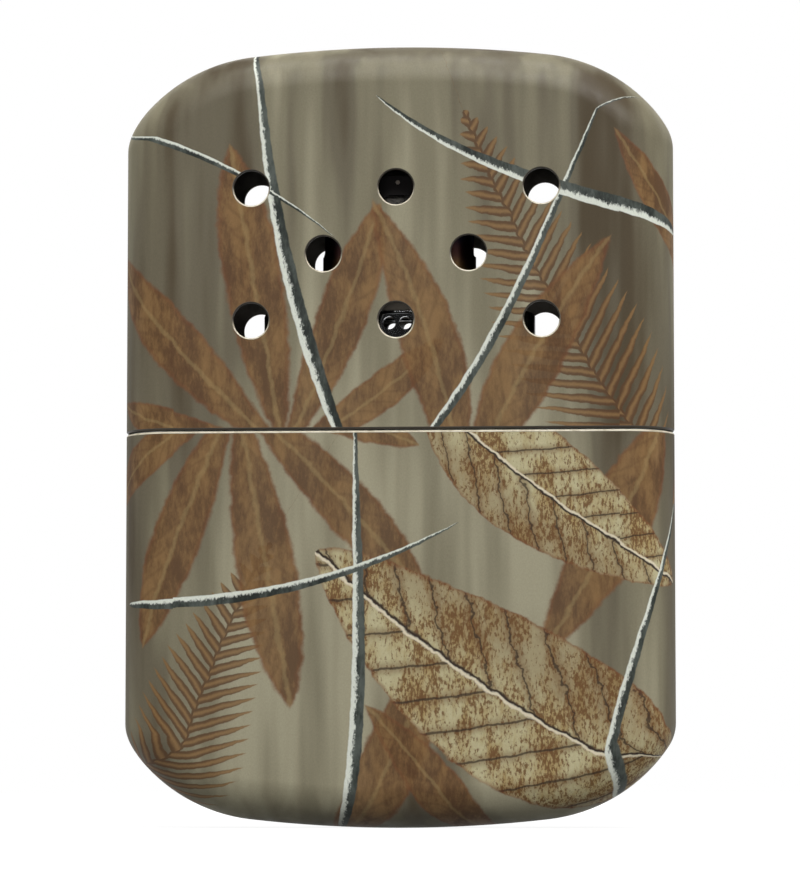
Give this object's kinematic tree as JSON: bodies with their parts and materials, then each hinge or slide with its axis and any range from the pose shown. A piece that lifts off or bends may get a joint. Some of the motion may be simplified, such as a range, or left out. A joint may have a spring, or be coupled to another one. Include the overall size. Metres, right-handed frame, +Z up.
{
  "type": "catalytic hand warmer",
  "caption": "Flat pocket hand warmer that burns fuel without flame: a drawn fuel tank, a pull-off catalytic burner on its neck and a vented slip-on cap.",
  "frame": {"origin": "middle of the closed case's lowest edge, on the surface that it stands on", "axes": "+Z up along the case's height, -Y out of the front face, +X to the right as seen from the front"},
  "size_m": [0.0692, 0.0136, 0.0984],
  "materials": {
    "printed_cap": "satin printed woodland pattern",
    "printed_base": "satin printed woodland pattern",
    "plated_top": "bright plated",
    "neck_metal": "bright plated",
    "felt": "white felt",
    "cotton": "loose cotton",
    "plated_skirt": "bright plated",
    "housing_steel": "heat-tinted sheet",
    "tray_steel": "plain perforated sheet",
    "glass_fibre": "grey platinised glass fibre",
    "wire_steel": "drawn wire"
  },
  "bodies": {
    "tank": {"tank_shell": "printed_base", "tank_top": "plated_top", "filler_neck": "neck_metal", "wick_pad": "felt", "cotton_wadding": "cotton"},
    "cap": {"cap_shell": "printed_cap"},
    "burner": {"burner_skirt": "plated_skirt", "catalyst_housing": "housing_steel", "mat_tray": "tray_steel", "catalyst_mat": "glass_fibre", "mat_wires": "wire_steel"}
  },
  "joints": [
    {"name": "cap_slide", "type": "slide", "parent": "tank", "child": "cap", "axis": [0, 0, 1], "range_m": [0, 0.05]},
    {"name": "burner_slide", "type": "slide", "parent": "tank", "child": "burner", "axis": [0, 0, 1], "range_m": [0, 0.012]}
  ]
}
